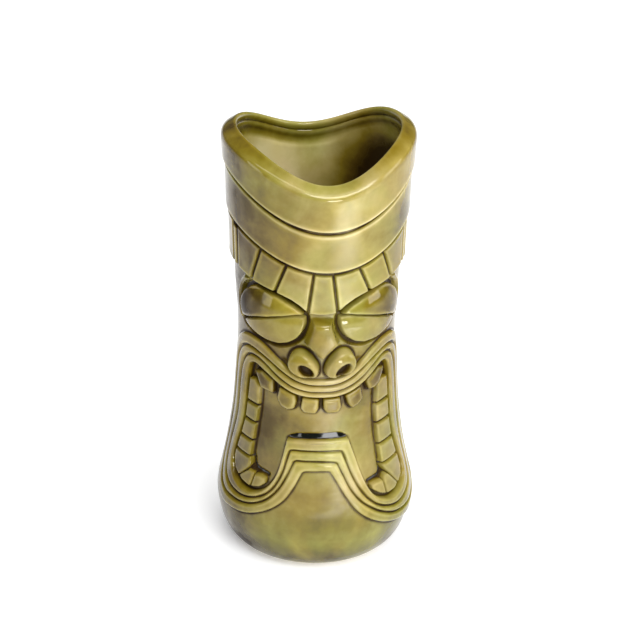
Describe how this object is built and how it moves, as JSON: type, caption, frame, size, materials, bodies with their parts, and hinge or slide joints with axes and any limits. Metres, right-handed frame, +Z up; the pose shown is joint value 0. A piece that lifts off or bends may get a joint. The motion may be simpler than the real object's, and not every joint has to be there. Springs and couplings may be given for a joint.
{
  "type": "tiki mug",
  "caption": "Tall hollow stoneware drinking mug with a carved face in relief on its front, a banded crown and a saddle-shaped rolled rim, covered in olive glaze.",
  "frame": {"origin": "middle of the flat foot, on the surface that the mug stands on", "axes": "+Z up along the mug's axis, -Y out of the carved face, +X towards the right of someone facing it"},
  "size_m": [0.0772, 0.0768, 0.1725],
  "materials": {
    "olive_glaze": "glossy translucent olive glaze of middling thickness over pale stoneware",
    "thin_glaze": "the same glaze where it runs thin over raised carving: paler, glossy",
    "pooled_glaze": "the same glaze where it pools: darker and greener, very glossy",
    "bare_clay": "unglazed fired clay, matt"
  },
  "bodies": {
    "root": {"brow_block_centre": "thin_glaze", "brow_block_left_inner": "thin_glaze", "brow_block_left_middle": "thin_glaze", "brow_block_left_outer": "thin_glaze", "brow_block_right_inner": "thin_glaze", "brow_block_right_middle": "thin_glaze", "brow_block_right_outer": "thin_glaze", "crown_band_middle": "olive_glaze", "crown_band_rear": "olive_glaze", "cup_body": "olive_glaze", "eye_lower_lid_left": "thin_glaze", "eye_lower_lid_right": "thin_glaze", "eye_socket_rim_left": "olive_glaze", "eye_socket_rim_right": "olive_glaze", "eye_upper_lid_left": "pooled_glaze", "eye_upper_lid_right": "pooled_glaze", "foot_ring": "bare_clay", "lip_inner": "olive_glaze", "lip_middle": "olive_glaze", "lip_outer": "olive_glaze", "nose_bridge": "pooled_glaze", "nostril_wing_left": "olive_glaze", "nostril_wing_right": "olive_glaze", "rim_band": "olive_glaze", "side_tooth_left_1": "thin_glaze", "side_tooth_left_2": "thin_glaze", "side_tooth_left_3": "thin_glaze", "side_tooth_left_4": "thin_glaze", "side_tooth_left_5": "thin_glaze", "side_tooth_left_6": "thin_glaze", "side_tooth_left_7": "thin_glaze", "side_tooth_right_1": "thin_glaze", "side_tooth_right_2": "thin_glaze", "side_tooth_right_3": "thin_glaze", "side_tooth_right_4": "thin_glaze", "side_tooth_right_5": "thin_glaze", "side_tooth_right_6": "thin_glaze", "side_tooth_right_7": "thin_glaze", "temple_bar_left": "olive_glaze", "temple_bar_right": "olive_glaze", "upper_tooth_1": "thin_glaze", "upper_tooth_2": "thin_glaze", "upper_tooth_3": "thin_glaze", "upper_tooth_4": "thin_glaze", "upper_tooth_5": "thin_glaze", "upper_tooth_6": "thin_glaze"}
  },
  "joints": []
}
